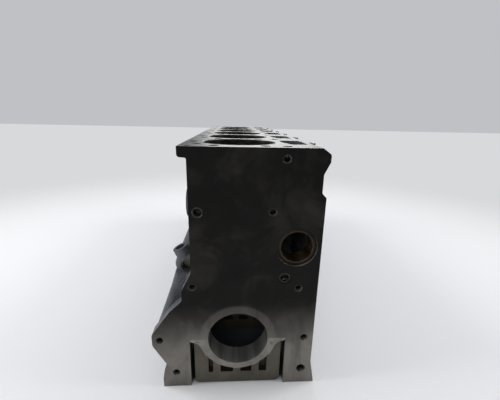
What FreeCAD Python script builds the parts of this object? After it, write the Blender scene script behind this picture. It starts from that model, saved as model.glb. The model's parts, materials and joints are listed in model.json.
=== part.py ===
"""Bare cylinder block of an inline diesel engine, with its main bearing caps, cap bolts, camshaft bushes and plugs.

Millimetres. X runs across the block, with the camshaft on the +X side. Y runs along the crankshaft, away from the
flywheel end, whose machined face is the plane Y = 0. Z is up. The origin is where the crankshaft axis meets that
face. The block stands on its sump rail, at the bottom of the skirts.
"""

import FreeCAD, Part

import math
import os

V = FreeCAD.Vector

# ---------------------------------------------------------------- driving dimensions
CYLINDERS = 6
BORE_R = 60.0  # cylinder bore, honed in the casting itself
BORE_PITCH = 135.0
END_WALL_T = 19.5  # from each end face to the middle of the first web
DECK_Z = 322.0  # crankshaft axis to deck
RAIL_Z = -97.0  # crankshaft axis to sump rail
CHAMFER = 1.5  # at the mouths of bores and plug seats

DECK_LEFT = -88.0  # edge of the deck flange that overhangs the water jacket wall
DECK_RIGHT = 118.0
DECK_T = 14.0
FLANGE_T = 16.0  # depth of the deck flange's edge
WALL_LEFT = -75.0  # water jacket wall between the bulges
WALL_RIGHT = 122.0  # camshaft side wall between the end flanges
FACE_RIGHT = 129.0  # end flange, camshaft side
SHOULDER_X = 130.5  # cast shoulder under the deck's camshaft side
CRANKCASE_LEFT = -143.5  # widest point of the end flange
SKIRT_LEFT = -112.0  # skirt below the bulge
RAIL_LEFT = -129.0
RAIL_RIGHT = 137.0
RAIL_T = 14.0

MAIN_BORE_R = 50.5
BEARING_W = 33.0  # length of each main bearing bore
WEB_T = 22.0
RING_R = 62.0  # outside of the bearing ring on webs and caps
CAP_HALF_W = 81.0  # register between the skirts
CAP_BODY_HALF_W = 74.5  # below the ears, which leaves a slot each side
CAP_EAR_H = 8.5
CAP_BOTTOM_Z = -95.5
CAP_CORNER_R = 8.0
CAP_BAR_TOP_Z = -73.0  # top of the bar along the cap's foot
CAP_RECESS = 4.0  # end caps: plate behind the face of ears and ring
CAP_MID_RECESS = 1.5
CAP_POCKET_X = 51.0
CAP_POCKET_TOP_Z = -44.0
CAP_POCKET_DEPTH = 11.0
CAP_RIBS_X = (-36.5, -1.5, 31.0)
CAP_RIB_HALF = 6.5
CAP_BOLT_X = 62.0
CAP_BOLT_R = 7.0
CAP_BOLT_DEPTH = 78.0  # above the joint, into the casting
CAP_BOLT_AF = 21.0  # hexagon head, across flats
CAP_BOLT_HEAD_H = 14.0
CAP_HEAD_R = 13.0  # counterbore that keeps the heads above the sump rail
CAP_HEAD_SEAT_Z = -77.0
CAP_DOWEL_R = 9.5
CAP_DOWEL_H = 12.0
NOTCH_TAPER_Z = -18.0  # inner webs: foot of the straight register

BAY_CENTRE_X = -12.0  # the crank throws' space leans away from the camshaft
BAY_R = 124.0
BULGE_LEFT = -147.0  # widest point of the bulge beside each crank throw
BULGE_RIGHT = 127.5
BULGE_INSET = 6.0  # from the web plane, so that a valley is left between two bulges
BULGE_END_R = 12.0
BULGE_ROOT_X = 84.0
VALLEY_LEFT = -133.0  # wall at the valleys
SKIRT_WALL = 10.0

JACKET_R = 80.0
BARREL_WALL = 7.0  # iron between bore and coolant
JACKET_SKIN = 6.0
JACKET_FLOOR_Z = 185.0
JACKET_RIGHT_X = 58.0
SIAMESE_HALF_W = 24.0  # iron that joins neighbouring barrels

CAM_X = 90.5
CAM_Z = 168.5
CAM_SEAT_R = 28.0
CAM_BUSH_R = 25.0
CAM_BUSH_L = 26.0
CAM_SPOT_R = 32.0  # counterbore in the end face
CAM_SPOT_DEPTH = 3.0
CAM_BOSS_R = 36.0
CAM_TUNNEL_R = 26.0  # boring bar's way between the bush seats
CAM_BULGE_R = 36.5  # the side wall swells round the camshaft
CAM_ROOM_X = (68.0, 114.0)  # camshaft chamber between the webs
CAM_ROOM_Z = (136.0, 200.0)
DRAIN_SLOT_X = 93.0

LIFTER_R = 12.5
LIFTER_DY = 29.0
LIFTER_SHELF_Z = 232.0  # floor of the push rod chamber
CHAMBER_X = (73.0, 110.0)
CHAMBER_Y = (-36.0, 41.0)  # from the cylinder's axis
CHAMBER_SLANT = 17.0  # the chamber's inner wall follows the barrel
CHAMBER_CORNER_R = 11.0

HEAD_BOLT_INNER_X = 37.5  # pairs between neighbouring cylinders
HEAD_BOLT_RIGHT_X = 70.0  # between the push rod chambers
HEAD_BOLT_LEFT_X = -75.0  # one beside each cylinder
HEAD_BOLT_R = 7.0
HEAD_BOLT_DEPTH = 60.0
BOLT_COLUMN_R = 12.0
TRANSFER_X = -65.5  # coolant transfer hole up to the head, one for each cylinder
TRANSFER_DY = -44.0
TRANSFER_R = 6.5
LUG_X = 122.0
LUG_R = 8.5
LUG_HOLE_R = 3.4
LUG_HOLE_DEPTH = 18.0
LUG_H = 34.0

GALLERY_X = 74.0
GALLERY_Z = 115.0
GALLERY_R = 8.0
GALLERY_PLUG_R = 9.0
PLUG_SEAT = 12.0  # depth of a cup plug's counterbore
FEED_R = 4.0  # oil feeds to the bearings

SIDE_GALLERY_X = -85.0
SIDE_GALLERY_Z = 122.0
SIDE_GALLERY_R = 21.0
SIDE_GALLERY_FILLET = 9.0
DIPSTICK_Y = 46.0
DIPSTICK_LEAN = 24.0  # degrees from upright, away from the wall
DIPSTICK_TOP = 31.0  # above the side gallery's axis
DIPSTICK_BOSS_R = 13.0
DIPSTICK_HOLE_R = 8.0
SIDE_GALLERY_BORE_R = 9.0
SIDE_PLUG_R = 11.0

CORE_PLUG_R = 20.0
CORE_PLUG_Z = 218.0
CORE_PLUG_L = 9.0
CORE_BOSS_R = 26.0
CORE_FACE_X = -88.0
CORE_HOLE_DEPTH = 22.0
RIB_X = 127.5  # face of the camshaft side's ribs
RIB_T = 11.0
LONG_RIB_UP = 46.0  # the long rib, over the camshaft
RAIL_BOSS_R = 11.0
SHEET_T = 2.0  # wall of a pressed cup plug

RAIL_BOLT_R = 4.25
RAIL_BOLT_END = 10.0  # the end walls' own, from the end face
RAIL_BOLT_DEPTH = 18.0
RAIL_BOLT_LEFT = -115.5
RAIL_BOLT_RIGHT = 124.5

M12_R = 5.25  # tapping drill sizes
M16_R = 7.0

DOWEL_R = 6.0
DOWEL_Y = 11.0  # from the end face, at the left of the deck
DOWEL_DEPTH = 14.0
HOLE_SINK = 1.2  # countersink at the mouth of a tapped hole

FIT = 0.02  # gap of a press fit
SLACK = 0.5  # radial gap of a bolt in its hole
PAST = 5.0  # how far a cutting tool runs past the metal

# ---------------------------------------------------------------- sizes worked out from them
END_TO_BORE = END_WALL_T + BORE_PITCH / 2
LENGTH = 2 * END_TO_BORE + (CYLINDERS - 1) * BORE_PITCH
BORE_Y = [END_TO_BORE + k * BORE_PITCH for k in range(CYLINDERS)]
WEB_Y = [END_TO_BORE + (k - 0.5) * BORE_PITCH for k in range(CYLINDERS + 1)]
MID = BORE_PITCH / 2  # cylinder axis, in a section that runs from one web plane to the next
JACKET_TOP_Z = DECK_Z - DECK_T
INNER_LEFT = SKIRT_LEFT + SKIRT_WALL
INNER_RIGHT = WALL_RIGHT - SKIRT_WALL
SIDE_GALLERY_START = END_WALL_T + 14.0


# ---------------------------------------------------------------- shape helpers
def cylinder(radius, x, y, z, direction, height):
    return Part.makeCylinder(radius, height, V(x, y, z), V(*direction))


def cone(r0, r1, x, y, z, direction, height):
    return Part.makeCone(r0, r1, height, V(x, y, z), V(*direction))


def box(x0, x1, y0, y1, z0, z1):
    return Part.makeBox(x1 - x0, y1 - y0, z1 - z0, V(x0, y0, z0))


def rounded_wire(corners, place):
    """Closed wire through corners (u, v, radius), each radius a tangent arc; place(u, v) gives the point in space."""
    flat = [V(u, v, 0) for u, v, _ in corners]
    edges = []
    starts = []
    n = len(corners)
    for i, (_, _, radius) in enumerate(corners):
        here = flat[i]
        back = (flat[i - 1] - here).normalize()
        ahead = (flat[(i + 1) % n] - here).normalize()
        half = back.getAngle(ahead) / 2
        if radius <= 0 or half > math.radians(89.9):
            starts.append((here, None, here))
            continue
        cut = radius / math.tan(half)
        middle = (back + ahead).normalize()
        centre = here + middle * (radius / math.sin(half))
        starts.append((here + back * cut, centre - middle * radius, here + ahead * cut))
    for i, (first, mid, last) in enumerate(starts):
        if mid is not None:
            arc = [place(p.x, p.y) for p in (first, mid, last)]
            edges.append(Part.Arc(*arc).toShape())
        ahead = starts[(i + 1) % n][0]
        if (ahead - last).Length > 1e-6:
            edges.append(Part.LineSegment(place(last.x, last.y), place(ahead.x, ahead.y)).toShape())
    return Part.Wire(edges)


def prism_along_y(corners, y0, y1):
    """Solid with an outline in X and Z, from y0 to y1."""
    wire = rounded_wire(corners, lambda x, z: V(x, y0, z))
    return Part.Face(wire).extrude(V(0, y1 - y0, 0))


def prism_along_z(corners, z0, z1):
    """Solid with an outline in X and Y, from z0 to z1."""
    wire = rounded_wire(corners, lambda x, y: V(x, y, z0))
    return Part.Face(wire).extrude(V(0, 0, z1 - z0))


def fused(shapes):
    """One after another, which is far quicker here than all at once."""
    whole = shapes[0]
    for shape in shapes[1:]:
        whole = whole.fuse(shape)
    return whole.removeSplitter()


def blind_hole(radius, x, y, z, direction, depth):
    """Tapped or drilled hole with a small countersink at its mouth and the drill's blunt cone at its end."""
    inward = V(*direction)
    mouth = V(x, y, z)
    hole = Part.makeCylinder(radius, depth + PAST, mouth - inward * PAST, inward)
    tip = Part.makeCone(radius, radius * 0.15, radius * 0.5, mouth + inward * depth, inward)
    sink = Part.makeCone(radius + HOLE_SINK, radius, HOLE_SINK, mouth, inward)
    return hole.fuse([tip, sink])


# ---------------------------------------------------------------- block casting
def end_flange(y0, y1):
    """The machined end face's outline: deck flange, jacket wall, crankcase flare and sump rail."""
    corners = [
        (DECK_LEFT, DECK_Z, 0),
        (DECK_LEFT, DECK_Z - FLANGE_T + 1.0, 4.5),
        (WALL_LEFT, DECK_Z - FLANGE_T, 2.5),
        (WALL_LEFT, 126.0, 14),
        (CRANKCASE_LEFT + 52.5, 94.0, 10),
        (CRANKCASE_LEFT + 52.5, 76.0, 10),
        (CRANKCASE_LEFT + 31.0, 55.0, 16),
        (CRANKCASE_LEFT, 11.0, 12),
        (CRANKCASE_LEFT, -10.0, 12),
        (CRANKCASE_LEFT + 25.0, -54.0, 2.5),
        (RAIL_LEFT + 3.5, -59.5, 2.5),
        (RAIL_LEFT, RAIL_Z + 18.0, 6),
        (RAIL_LEFT, RAIL_Z, 0),
        (RAIL_RIGHT, RAIL_Z, 0),
        (FACE_RIGHT, RAIL_Z + 46.0, 10),
        (FACE_RIGHT, DECK_Z - 73.0, 1.5),
        (WALL_RIGHT, DECK_Z - 66.0, 4),
        (WALL_RIGHT, DECK_Z - 38.0, 6),
        (SHOULDER_X, DECK_Z - 20.0, 6),
        (SHOULDER_X, DECK_Z - 9.0, 5),
        (DECK_RIGHT, DECK_Z, 0),
    ]
    return prism_along_y(corners, y0, y1)


def core_body(y0, y1):
    """Everything between the end flanges, without the bulges."""
    corners = [
        (DECK_LEFT, DECK_Z, 0),
        (DECK_LEFT, DECK_Z - FLANGE_T + 1.0, 4.5),
        (WALL_LEFT, DECK_Z - FLANGE_T, 2.5),
        (WALL_LEFT, 120.0, 12),
        (-98.0, 92.0, 16),
        (-104.0, 64.0, 30),
        (VALLEY_LEFT, -2.0, 14),
        (VALLEY_LEFT, -20.0, 12),
        (SKIRT_LEFT, -58.0, 8),
        (SKIRT_LEFT, RAIL_Z + RAIL_T + 3.0, 8),
        (RAIL_LEFT, RAIL_Z + RAIL_T - 1.0, 3),
        (RAIL_LEFT, RAIL_Z, 0),
        (RAIL_RIGHT, RAIL_Z, 0),
        (RAIL_RIGHT, RAIL_Z + RAIL_T - 1.0, 3),
        (WALL_RIGHT, RAIL_Z + RAIL_T + 3.0, 8),
        (WALL_RIGHT, DECK_Z - 38.0, 6),
        (SHOULDER_X, DECK_Z - 20.0, 6),
        (SHOULDER_X, DECK_Z - 9.0, 5),
        (DECK_RIGHT, DECK_Z, 0),
    ]
    return prism_along_y(corners, y0, y1)


def rounded_bulge(corners, inset, radius):
    """Bulge of the crankcase wall beside one crank throw: an outline in X and Z with its two ends rounded over."""
    y0, y1 = inset, BORE_PITCH - inset
    shape = prism_along_y(corners, y0, y1)
    ends = []
    for edge in shape.Edges:
        middle = edge.CenterOfMass
        at_end = edge.BoundBox.YLength < 1e-3
        if at_end and abs(middle.x) > BULGE_ROOT_X + 1.0:
            ends.append(edge)
    return shape.makeFillet(radius, ends)


def crank_bulge_left():
    """Under the side gallery the wall slopes out to its widest point beside the crank, then turns under."""
    corners = [
        (-BULGE_ROOT_X, 112.0, 0),
        (-105.0, 112.0, 0),
        (-113.5, 84.0, 0),
        (BULGE_LEFT + 14.0, 26.0, 30),
        (BULGE_LEFT, -8.0, 10),
        (BULGE_LEFT, -18.0, 8),
        (SKIRT_LEFT - 9.0, -62.0, 0),
        (-BULGE_ROOT_X, -62.0, 0),
    ]
    return rounded_bulge(corners, BULGE_INSET, BULGE_END_R)


def crank_bulge_right():
    corners = [(BULGE_ROOT_X, 92.0, 0), (BULGE_RIGHT, 60.0, 0), (BULGE_RIGHT, -52.0, 0), (BULGE_ROOT_X, -76.0, 0)]
    return rounded_bulge(corners, BULGE_INSET, 4.0)


def jacket_bulge():
    """The jacket wall follows the cylinder on the side away from the camshaft."""
    radius = JACKET_R + JACKET_SKIN
    top = DECK_Z - DECK_T / 2
    bottom = JACKET_FLOOR_Z - 12.0
    drum = cylinder(radius, 0, MID, bottom, (0, 0, 1), top - bottom)
    low_edge = [e for e in drum.Edges if abs(e.BoundBox.ZMax - bottom) < 1e-6]
    drum = drum.makeFillet(14.0, low_edge)
    return drum.common(box(-radius - PAST, -40.0, 0.5, BORE_PITCH - 0.5, bottom, top))


def side_gallery():
    """Round cast gallery along the side, over the crankcase bulges."""
    length = LENGTH - 2 * SIDE_GALLERY_START
    rod = cylinder(SIDE_GALLERY_R, SIDE_GALLERY_X, SIDE_GALLERY_START, SIDE_GALLERY_Z, (0, 1, 0), length)
    return rod.makeFillet(SIDE_GALLERY_FILLET, [e for e in rod.Edges if e.Closed])


def dipstick_boss(radius, start, height):
    """Boss or bore of the dipstick tube, leaning out over the side gallery near the flywheel end."""
    lean = math.radians(DIPSTICK_LEAN)
    way = V(-math.sin(lean), 0, math.cos(lean))
    foot = V(SIDE_GALLERY_X, DIPSTICK_Y, SIDE_GALLERY_Z) + way * start
    return Part.makeCylinder(radius, height, foot, way)


def wall_ribs():
    """Ribs of the camshaft side: one upright at each web, and one that runs the length of the block."""
    low, high = RAIL_Z + 6.0, DECK_Z - 40.0
    first = box(WALL_RIGHT - 2.0, RIB_X, 0.0, RIB_T / 2, low, high)
    last = first.translated(V(0, BORE_PITCH - RIB_T / 2, 0))
    z = CAM_Z + LONG_RIB_UP
    return [first, last, box(WALL_RIGHT - 2.0, RIB_X - 1.0, 0.0, BORE_PITCH, z - RIB_T / 2, z + RIB_T / 2)]


def section_form():
    """Outside of the casting from one web plane to the next."""
    boss = cylinder(CORE_BOSS_R, CORE_FACE_X, MID, CORE_PLUG_Z, (1, 0, 0), CORE_HOLE_DEPTH - 2.0)
    lug = cylinder(LUG_R, LUG_X, MID, DECK_Z - LUG_H, (0, 0, 1), LUG_H)
    swell = cylinder(CAM_BULGE_R, CAM_X, 0, CAM_Z, (0, 1, 0), BORE_PITCH)
    solids = [core_body(0.0, BORE_PITCH), crank_bulge_left(), crank_bulge_right()]
    solids += [jacket_bulge(), boss, lug, swell]
    solids += wall_ribs()
    for x, y in section_rail_bolts():
        solids.append(cylinder(RAIL_BOSS_R, x, y, RAIL_Z + 2.0, (0, 0, 1), RAIL_T + 14.0))
    return fused(solids)


def section_rail_bolts():
    return [(x, MID + dy) for dy in (-MID / 2, MID / 2) for x in (RAIL_BOLT_LEFT, RAIL_BOLT_RIGHT)]


def crank_bay():
    """Room for one crank throw between two webs, open to the sump."""
    y0, y1 = WEB_T / 2, BORE_PITCH - WEB_T / 2
    left = BAY_CENTRE_X - BAY_R - PAST
    drum = cylinder(BAY_R, BAY_CENTRE_X, y0, 0, (0, 1, 0), y1 - y0)
    upper = [
        (left, -6.0, 0),
        (left, BAY_R + PAST, 0),
        (INNER_RIGHT, BAY_R + PAST, 0),
        (INNER_RIGHT, -46.0, 0),
        (INNER_LEFT, -46.0, 0),
    ]
    room = drum.common(prism_along_y(upper, y0, y1))
    return fused([room, box(INNER_LEFT, INNER_RIGHT, y0, y1, RAIL_Z - PAST, 0.0)])


def web_feet(y0, y1):
    """The web thickens at its foot and round its two bearings; all of it is bored through afterwards."""
    pad = box(-CAP_HALF_W - 6.0, CAP_HALF_W + 6.0, y0, y1, -2.0, 24.0)
    ring = cylinder(RING_R, 0, y0, 0, (0, 1, 0), y1 - y0)
    upper = ring.common(box(-RING_R, RING_R, y0, y1, 0, RING_R + 1))
    cam = cylinder(CAM_BOSS_R, CAM_X, y0, CAM_Z, (0, 1, 0), y1 - y0)
    return fused([pad, upper, cam])


def inner_notch(y0, y1):
    """Room for an inner bearing cap: a straight register under the web, then open out to the skirts."""
    corners = [
        (-CAP_HALF_W, 0, 0),
        (-CAP_HALF_W, NOTCH_TAPER_Z, 4),
        (INNER_LEFT, NOTCH_TAPER_Z - 34.0, 8),
        (INNER_LEFT, RAIL_Z - PAST, 0),
        (INNER_RIGHT, RAIL_Z - PAST, 0),
        (INNER_RIGHT, NOTCH_TAPER_Z - 34.0, 8),
        (CAP_HALF_W, NOTCH_TAPER_Z, 4),
        (CAP_HALF_W, 0, 0),
    ]
    return prism_along_y(corners, y0, y1)


def cam_room():
    """Camshaft chamber over one bay, with its drain slot down the wall."""
    y0, y1 = WEB_T / 2, BORE_PITCH - WEB_T / 2
    room = box(CAM_ROOM_X[0], CAM_ROOM_X[1], y0, y1, CAM_ROOM_Z[0], CAM_ROOM_Z[1])
    return fused([room, box(DRAIN_SLOT_X, INNER_RIGHT, y0 + 6, y1 - 6, 10.0, CAM_ROOM_Z[0] + 1)])


def push_rod_chamber():
    """Opening in the deck beside one cylinder, over the bores of its two valve lifters."""
    y0, y1 = MID + CHAMBER_Y[0], MID + CHAMBER_Y[1]
    x0, x1 = CHAMBER_X
    corners = [
        (x0 + CHAMBER_SLANT * 0.6, y0, CHAMBER_CORNER_R * 0.6),
        (x1, y0, CHAMBER_CORNER_R),
        (x1, y1, CHAMBER_CORNER_R),
        (x0, y1, CHAMBER_CORNER_R * 0.6),
        (x0, y1 - CHAMBER_SLANT * 2.5, CHAMBER_CORNER_R),
    ]
    bores = []
    for dy in (-LIFTER_DY, LIFTER_DY):
        height = LIFTER_SHELF_Z - CAM_ROOM_Z[1] + 2.0
        bores.append(cylinder(LIFTER_R, CAM_X, MID + dy, CAM_ROOM_Z[1] - 1.0, (0, 0, 1), height))
    return fused([prism_along_z(corners, LIFTER_SHELF_Z, DECK_Z + PAST)] + bores)


def water_jacket():
    """Coolant space round one barrel, open to the next ones beside the iron that joins them."""
    z, height = JACKET_FLOOR_Z, JACKET_TOP_Z - JACKET_FLOOR_Z
    space = cylinder(JACKET_R, 0, MID, z, (0, 0, 1), height)
    space = space.common(box(-JACKET_R - PAST, JACKET_RIGHT_X, 0, BORE_PITCH, z, JACKET_TOP_Z))
    iron = [cylinder(BORE_R + BARREL_WALL, 0, MID, z - PAST, (0, 0, 1), height + 2 * PAST)]
    iron.append(box(-SIAMESE_HALF_W, SIAMESE_HALF_W, -PAST, BORE_PITCH + PAST, z - PAST, JACKET_TOP_Z + PAST))
    foot = DECK_Z - HEAD_BOLT_DEPTH - 14.0
    for x, y in section_head_bolts():
        iron.append(cylinder(BOLT_COLUMN_R, x, y, foot, (0, 0, 1), DECK_Z - foot))
    return space.cut(iron)


def section_head_bolts():
    """Cylinder head bolts of one section: one beside the cylinder and three in each web plane."""
    return [(HEAD_BOLT_LEFT_X, MID)] + web_head_bolts(0.0) + web_head_bolts(BORE_PITCH)


def web_head_bolts(y):
    return [(x, y) for x in (-HEAD_BOLT_INNER_X, HEAD_BOLT_INNER_X, HEAD_BOLT_RIGHT_X)]


def head_bolt_hole(x, y):
    return blind_hole(HEAD_BOLT_R, x, y, DECK_Z, (0, 0, -1), HEAD_BOLT_DEPTH)


def web_drillings(y):
    """Everything drilled in one web plane: head bolts, cap bolts with their dowels, and the oil feeds."""
    holes = [head_bolt_hole(x, at) for x, at in web_head_bolts(y)]
    for x in (-CAP_BOLT_X, CAP_BOLT_X):
        holes.append(cylinder(CAP_BOLT_R + FIT, x, y, -PAST, (0, 0, 1), CAP_BOLT_DEPTH + 6.0 + PAST))
        holes.append(cylinder(CAP_DOWEL_R + FIT, x, y, -PAST, (0, 0, 1), CAP_DOWEL_H / 2 + PAST))
    for x, z, seat in ((0.0, 0.0, MAIN_BORE_R), (CAM_X, CAM_Z, CAM_SEAT_R)):
        way = V(x - GALLERY_X, 0, z - GALLERY_Z)
        holes.append(Part.makeCylinder(FEED_R, way.Length - seat + 2.0, V(GALLERY_X, y, GALLERY_Z), way))
    return holes


def lines(y0, y1):
    """Main bearing line, camshaft line and main oil gallery over one stretch."""
    length = y1 - y0 + 2 * PAST
    return [
        cylinder(MAIN_BORE_R, 0, y0 - PAST, 0, (0, 1, 0), length),
        cylinder(CAM_TUNNEL_R, CAM_X, y0 - PAST, CAM_Z, (0, 1, 0), length),
        cylinder(GALLERY_R, GALLERY_X, y0 - PAST, GALLERY_Z, (0, 1, 0), length),
    ]


def cam_seat(y):
    return cylinder(CAM_SEAT_R + FIT, CAM_X, y - CAM_BUSH_L / 2, CAM_Z, (0, 1, 0), CAM_BUSH_L)


def cylinder_bore():
    """Bore from the deck down past the lowest point where it meets the crank throw's space."""
    bottom = math.sqrt(BAY_R ** 2 - (BORE_R + abs(BAY_CENTRE_X)) ** 2) - 1.0
    bore = cylinder(BORE_R, 0, MID, bottom, (0, 0, 1), DECK_Z + PAST - bottom)
    return bore.fuse(cone(BORE_R, BORE_R + CHAMFER, 0, MID, DECK_Z - CHAMFER, (0, 0, 1), CHAMFER))


def transfer_and_core_holes():
    """Coolant's way up to the head, and the sand core's hole that a plug closes."""
    transfer = cylinder(TRANSFER_R, TRANSFER_X, MID + TRANSFER_DY, JACKET_TOP_Z - 2.0, (0, 0, 1), DECK_T + 2.0 + PAST)
    core = cylinder(CORE_PLUG_R + FIT, CORE_FACE_X - PAST, MID, CORE_PLUG_Z, (1, 0, 0), CORE_HOLE_DEPTH + PAST)
    lip = cone(CORE_PLUG_R + CHAMFER, CORE_PLUG_R, CORE_FACE_X, MID, CORE_PLUG_Z, (1, 0, 0), CHAMFER)
    return [transfer, core, lip]


def section():
    """One cylinder's share of the casting, from web plane to web plane, with y counted from the first."""
    body = section_form()
    for room in (crank_bay(), cam_room()):
        body = body.cut(room)
    half = BEARING_W / 2
    ends = ((0.0, half), (BORE_PITCH - half, BORE_PITCH))
    body = fused([body] + [web_feet(*end) for end in ends])
    body = body.cut([inner_notch(-1.0, half + 1.0), inner_notch(BORE_PITCH - half - 1.0, BORE_PITCH + 1.0)])
    for room in (push_rod_chamber(), water_jacket(), cylinder_bore()):
        body = body.cut(room)
    for line in lines(0.0, BORE_PITCH) + [cam_seat(0.0), cam_seat(BORE_PITCH)]:
        body = body.cut(line)
    holes = web_drillings(0.0) + web_drillings(BORE_PITCH)
    holes.append(head_bolt_hole(HEAD_BOLT_LEFT_X, MID))
    holes += transfer_and_core_holes()
    holes.append(blind_hole(LUG_HOLE_R, LUG_X, MID, DECK_Z, (0, 0, -1), LUG_HOLE_DEPTH))
    for x, y in section_rail_bolts():
        holes.append(blind_hole(RAIL_BOLT_R, x, y, RAIL_Z, (0, 0, 1), RAIL_BOLT_DEPTH))
    for hole in holes:
        body = body.cut(hole)
    return body


def end_wall():
    """The machined end wall, from the end face at y = 0 to the first web plane."""
    wall = end_flange(0.0, END_WALL_T)
    notch = box(-CAP_HALF_W, CAP_HALF_W, -PAST, END_WALL_T + PAST, RAIL_Z - PAST, 0.0)
    cuts = [notch, cylinder(CAM_SPOT_R, CAM_X, -PAST, CAM_Z, (0, 1, 0), CAM_SPOT_DEPTH + PAST)]
    cuts.append(cylinder(CAM_SEAT_R + FIT, CAM_X, 0, CAM_Z, (0, 1, 0), END_WALL_T + PAST))
    cuts += lines(0.0, END_WALL_T) + web_drillings(END_WALL_T)
    cuts.append(cylinder(GALLERY_PLUG_R + FIT, GALLERY_X, -PAST, GALLERY_Z, (0, 1, 0), PLUG_SEAT + PAST))
    cuts.append(cone(GALLERY_PLUG_R + CHAMFER, GALLERY_PLUG_R, GALLERY_X, 0, GALLERY_Z, (0, 1, 0), CHAMFER))
    cuts.append(cylinder(DOWEL_R, HEAD_BOLT_LEFT_X, DOWEL_Y, DECK_Z - DOWEL_DEPTH, (0, 0, 1), DOWEL_DEPTH + PAST))
    for x, z, radius, depth in end_face_holes():
        cuts.append(blind_hole(radius, x, 0, z, (0, 1, 0), depth))
    for x in (RAIL_BOLT_LEFT, RAIL_BOLT_RIGHT):
        cuts.append(blind_hole(RAIL_BOLT_R, x, RAIL_BOLT_END, RAIL_Z, (0, 0, 1), RAIL_BOLT_DEPTH))
    for tool in cuts:
        wall = wall.cut(tool)
    return wall


def other_end(shape):
    """The same shape seen from the other end of the block."""
    return shape.mirror(V(0, LENGTH / 2, 0), V(0, 1, 0))


def block_casting():
    one = section()
    near = end_wall()
    row = fused([near] + [one.translated(V(0, y, 0)) for y in WEB_Y[:-1]] + [other_end(near)])
    boss = dipstick_boss(DIPSTICK_BOSS_R, 0.0, DIPSTICK_TOP)
    body = fused([row, side_gallery(), boss])
    long_bore = cylinder(SIDE_GALLERY_BORE_R, SIDE_GALLERY_X, 0, SIDE_GALLERY_Z, (0, 1, 0), LENGTH)
    reach = box(-200.0, 0.0, SIDE_GALLERY_START - 1.0, LENGTH - SIDE_GALLERY_START + 1.0, 0.0, 200.0)
    mouth = SIDE_GALLERY_START - 1.0
    near_seat = cylinder(SIDE_PLUG_R + FIT, SIDE_GALLERY_X, mouth, SIDE_GALLERY_Z, (0, 1, 0), PLUG_SEAT + 1.0)
    tube_hole = dipstick_boss(DIPSTICK_HOLE_R, SIDE_GALLERY_BORE_R + 5.0, DIPSTICK_TOP)
    for tool in (long_bore.common(reach), near_seat, other_end(near_seat), tube_hole):
        body = body.cut(tool)
    return body.Solids[0]


def end_face_holes():
    """Tapped holes of an end face: (x, z, radius, depth)."""
    return [
        (67.0, 306.0, M12_R, 24.0),
        (50.0, 227.0, M12_R, 28.0),
        (-62.0, 226.0, M16_R, 20.0),
        (-74.0, 101.0, M12_R, 26.0),
        (97.0, 97.0, M12_R, 26.0),
        (-131.0, 0.5, M12_R, 14.0),
        (113.0, 0.5, M12_R, 26.0),
        (-106.0, -67.0, M12_R, 26.0),
        (112.0, -66.0, M16_R, 20.0),
    ]


def bearing_span(k):
    """Ends of main bearing k along the crankshaft axis; the two end bearings run out to the end faces."""
    y0 = 0.0 if k == 0 else WEB_Y[k] - BEARING_W / 2
    y1 = LENGTH if k == CYLINDERS else WEB_Y[k] + BEARING_W / 2
    return y0, y1


def bush_span(k):
    """Ends of camshaft bush k along its axis."""
    y0 = CAM_SPOT_DEPTH if k == 0 else WEB_Y[k] - CAM_BUSH_L / 2
    y1 = LENGTH - CAM_SPOT_DEPTH if k == CYLINDERS else WEB_Y[k] + CAM_BUSH_L / 2
    return y0, y1


def cap_bolt_places():
    return [(x, y) for y in WEB_Y for x in (-CAP_BOLT_X, CAP_BOLT_X)]


def gallery_ends():
    """Places of the main oil gallery's two end plugs, with the way into the casting."""
    return [(0.0, (0, 1, 0)), (LENGTH, (0, -1, 0))]


def side_gallery_ends():
    return [(SIDE_GALLERY_START, (0, 1, 0)), (LENGTH - SIDE_GALLERY_START, (0, -1, 0))]


# ---------------------------------------------------------------- main bearing caps
def cap_outline():
    """Plate of a cap below the joint: ears in the register, a body that clears the skirts, rounded feet."""
    ear = CAP_HALF_W - FIT
    half = CAP_BODY_HALF_W
    return [
        (-ear, 0, 0),
        (-ear, -CAP_EAR_H, 1.5),
        (-half, -CAP_EAR_H - 1.0, 3),
        (-half, CAP_BOTTOM_Z, CAP_CORNER_R),
        (half, CAP_BOTTOM_Z, CAP_CORNER_R),
        (half, -CAP_EAR_H - 1.0, 3),
        (ear, -CAP_EAR_H, 1.5),
        (ear, 0, 0),
    ]


def cap_face(y0, y1):
    """Raised face of a cap: the ring round the bearing, swept out into the two ears."""
    ear = CAP_HALF_W - FIT
    corners = [(-ear, 0, 0), (-ear, -4.0, 2), (-66.0, -9.5, 14), (-RING_R * 0.88, -RING_R * 0.55, 0), (0, -30, 0)]
    mirrored = [(-x, z, r) for x, z, r in reversed(corners[:-1])]
    wings = prism_along_y(corners + mirrored, y0, y1)
    ring = cylinder(RING_R, 0, y0, 0, (0, 1, 0), y1 - y0)
    return wings.fuse(ring.common(box(-RING_R, RING_R, y0, y1, -RING_R - 1, 0)))


def cap_pockets(y_face, inward, depth):
    """Cast pockets under the bearing, between the ribs and over the bar at the foot."""
    y0, y1 = sorted((y_face - inward * PAST, y_face + inward * depth))
    window = box(-CAP_POCKET_X, CAP_POCKET_X, y0, y1, CAP_BAR_TOP_Z, -20.0)
    window = window.cut(cylinder(RING_R - 1.0, 0, y0, 0, (0, 1, 0), y1 - y0))
    window = window.cut([box(x - CAP_RIB_HALF, x + CAP_RIB_HALF, y0, y1, CAP_BAR_TOP_Z, 0) for x in CAP_RIBS_X])
    return window.common(box(-CAP_POCKET_X, CAP_POCKET_X, y0, y1, CAP_BOTTOM_Z, CAP_POCKET_TOP_Z))


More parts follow.
